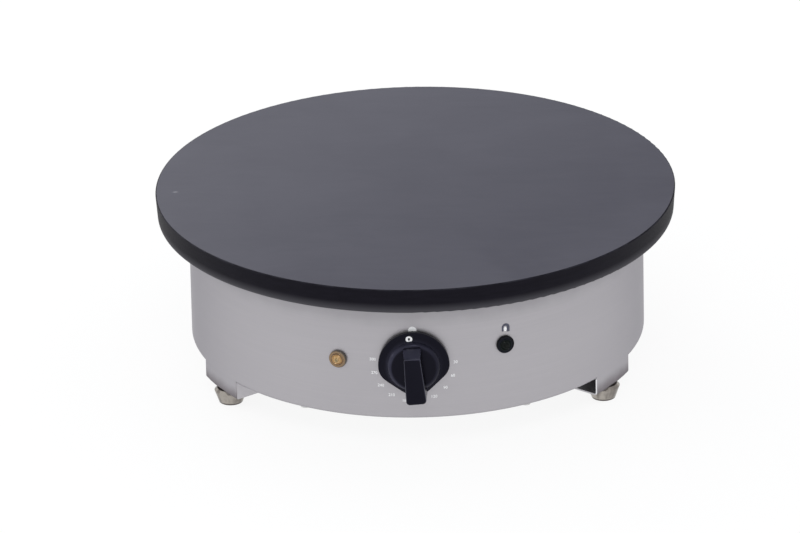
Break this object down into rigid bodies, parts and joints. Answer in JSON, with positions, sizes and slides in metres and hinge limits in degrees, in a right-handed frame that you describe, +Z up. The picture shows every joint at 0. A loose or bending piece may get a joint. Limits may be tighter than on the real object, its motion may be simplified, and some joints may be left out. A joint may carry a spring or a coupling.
{
  "type": "electric crepe maker",
  "caption": "Round electric crepe griddle: a flat cast plate on a stainless drum, with a thermostat knob, pilot lamps and low turned feet on folded legs.",
  "frame": {"origin": "on the surface the feet stand on, under the plate's centre", "axes": "+Z up, -Y out of the front with the knob, +X to the right as seen from the front"},
  "size_m": [0.3998, 0.3998, 0.1425],
  "materials": {
    "seasoned_iron": "satin",
    "stainless": "brushed",
    "zinc_steel": "satin",
    "bright_steel": "satin",
    "element_steel": "matte",
    "feet_metal": "satin",
    "black_phenolic": "semi-gloss",
    "black_nylon": "matte",
    "white_nylon": "matte",
    "amber_lens": "glossy",
    "green_lens": "glossy",
    "fibre": "matte",
    "steatite": "matte",
    "brass_parts": "satin",
    "copper_bulb": "satin",
    "silicone_wire": "matte",
    "seal_rubber": "matte"
  },
  "bodies": {
    "crepe_maker": {"griddle_plate": "seasoned_iron", "plate_studs": "zinc_steel", "plate_sleeves": "zinc_steel", "plate_stud_washers": "zinc_steel", "plate_stud_nuts": "zinc_steel", "shell_brackets": "stainless", "element_clamp_plate": "zinc_steel", "clamp_studs": "zinc_steel", "clamp_nuts": "zinc_steel", "insulation_disc": "fibre", "heat_shield_tray": "zinc_steel", "element_bushes": "steatite", "link_bars": "bright_steel", "pin_nuts": "brass_parts", "drum_shell": "stainless", "foot_screws": "zinc_steel", "foot_nuts": "zinc_steel", "base_cover": "zinc_steel", "base_cover_screws": "bright_steel", "thermostat_bracket": "stainless", "thermostat_body": "steatite", "thermostat_screws": "bright_steel", "sensor_bulb": "copper_bulb", "bulb_saddle": "bright_steel", "cable_gland_body": "black_nylon", "cable_gland_locknut": "black_nylon", "cable_gland_cap": "black_nylon", "cable_gland_seal": "seal_rubber", "terminal_block": "white_nylon", "terminal_screws": "brass_parts", "terminal_block_screws": "bright_steel", "earth_stud": "brass_parts", "earth_nuts": "brass_parts", "supply_wires": "silicone_wire", "element_wires": "silicone_wire", "lamp_wires": "silicone_wire", "earth_wire": "silicone_wire", "heating_element_outer": "element_steel", "heating_element_middle": "element_steel", "heating_element_inner": "element_steel", "foot_front_right": "feet_metal", "foot_rear": "feet_metal", "foot_front_left": "feet_metal", "amber_lamp_bezel": "amber_lens", "amber_lamp_body": "white_nylon", "amber_lamp_lens": "amber_lens", "amber_lamp_nut": "white_nylon", "green_lamp_bezel": "green_lens", "green_lamp_body": "white_nylon", "green_lamp_lens": "green_lens", "green_lamp_nut": "white_nylon"},
    "knob": {"control_knob": "black_phenolic", "knob_spring_clip": "bright_steel", "thermostat_shaft": "bright_steel"}
  },
  "joints": [
    {"name": "knob_turn", "type": "hinge", "parent": "crepe_maker", "child": "knob", "pos_m": [0, -0.175, 0.07135], "axis": [0, 1, 0], "range_deg": [0, 282]}
  ]
}
